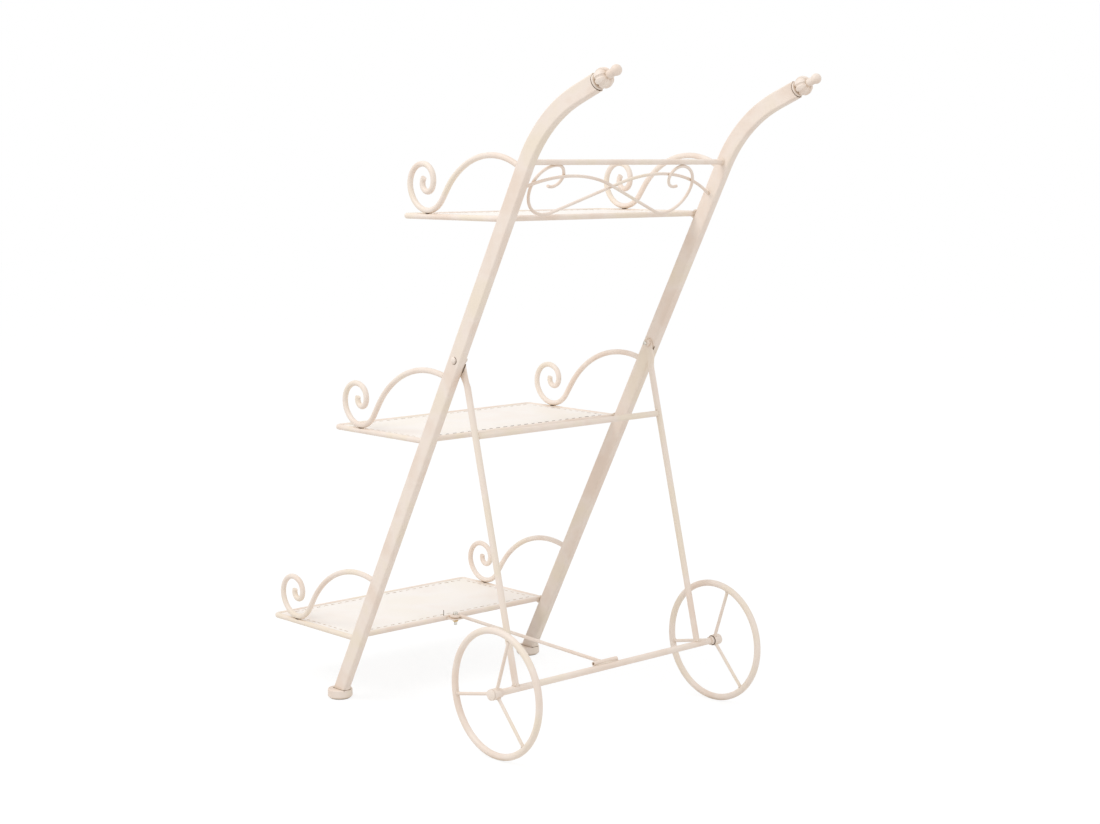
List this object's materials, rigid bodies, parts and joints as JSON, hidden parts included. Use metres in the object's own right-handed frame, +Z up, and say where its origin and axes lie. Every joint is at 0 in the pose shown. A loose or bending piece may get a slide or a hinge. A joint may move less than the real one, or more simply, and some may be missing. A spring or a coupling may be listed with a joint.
{
  "type": "flower cart stand",
  "caption": "Tiered metal plant stand on two spoked wheels, with leaning posts, slotted shelf panels, side scrolls and turned-back handles.",
  "frame": {"origin": "bottom centre of the whole stand's box: on the floor, midway between the side planes and midway from the lowest shelf's front to the handles' tips", "axes": "+X from the shelves' front towards the wheels and handles, +Y from the left pieces to the right pieces, +Z up"},
  "size_m": [0.8006, 0.4786, 0.9664],
  "materials": {
    "cream_paint": "satin cream powder coat on mild steel rod, tube and sheet",
    "glide_plastic": "moulded polyethylene, matte",
    "brass": "plain machined",
    "zinc_steel": "zinc plated"
  },
  "bodies": {
    "stand": {"axle": "cream_paint", "back_bar": "cream_paint", "bottom_shelf_frame": "cream_paint", "bottom_shelf_panel": "cream_paint", "bottom_shelf_rear_rail": "cream_paint", "brace_bolt": "zinc_steel", "brace_nut": "brass", "brace_rod": "cream_paint", "brace_sleeve": "cream_paint", "brace_tab": "cream_paint", "crossbar": "cream_paint", "left_axle_cap": "cream_paint", "left_axle_collar": "cream_paint", "left_bottom_scroll": "cream_paint", "left_filigree_wire": "cream_paint", "left_foot_cap": "cream_paint", "left_foot_glide": "glide_plastic", "left_handle_finial": "cream_paint", "left_middle_scroll": "cream_paint", "left_post": "cream_paint", "left_strut": "cream_paint", "left_strut_bolt": "cream_paint", "left_strut_nut": "cream_paint", "left_top_scroll": "cream_paint", "middle_shelf_frame": "cream_paint", "middle_shelf_panel": "cream_paint", "middle_shelf_rear_rail": "cream_paint", "right_axle_cap": "cream_paint", "right_axle_collar": "cream_paint", "right_bottom_scroll": "cream_paint", "right_filigree_wire": "cream_paint", "right_foot_cap": "cream_paint", "right_foot_glide": "glide_plastic", "right_handle_finial": "cream_paint", "right_middle_scroll": "cream_paint", "right_post": "cream_paint", "right_strut": "cream_paint", "right_strut_bolt": "cream_paint", "right_strut_nut": "cream_paint", "right_top_scroll": "cream_paint", "top_shelf_frame": "cream_paint", "top_shelf_panel": "cream_paint", "top_shelf_rear_rail": "cream_paint"},
    "left_wheel": {"left_wheel_hub": "cream_paint", "left_wheel_rim": "cream_paint", "left_wheel_spoke_1": "cream_paint", "left_wheel_spoke_2": "cream_paint", "left_wheel_spoke_3": "cream_paint"},
    "right_wheel": {"right_wheel_hub": "cream_paint", "right_wheel_rim": "cream_paint", "right_wheel_spoke_1": "cream_paint", "right_wheel_spoke_2": "cream_paint", "right_wheel_spoke_3": "cream_paint"}
  },
  "joints": [
    {"name": "left_wheel_spin", "type": "hinge", "parent": "stand", "child": "left_wheel", "pos_m": [0.18385, -0.227, 0.0955], "axis": [0, 1, 0], "continuous": true},
    {"name": "right_wheel_spin", "type": "hinge", "parent": "stand", "child": "right_wheel", "pos_m": [0.18385, 0.227, 0.0955], "axis": [0, 1, 0], "continuous": true}
  ]
}
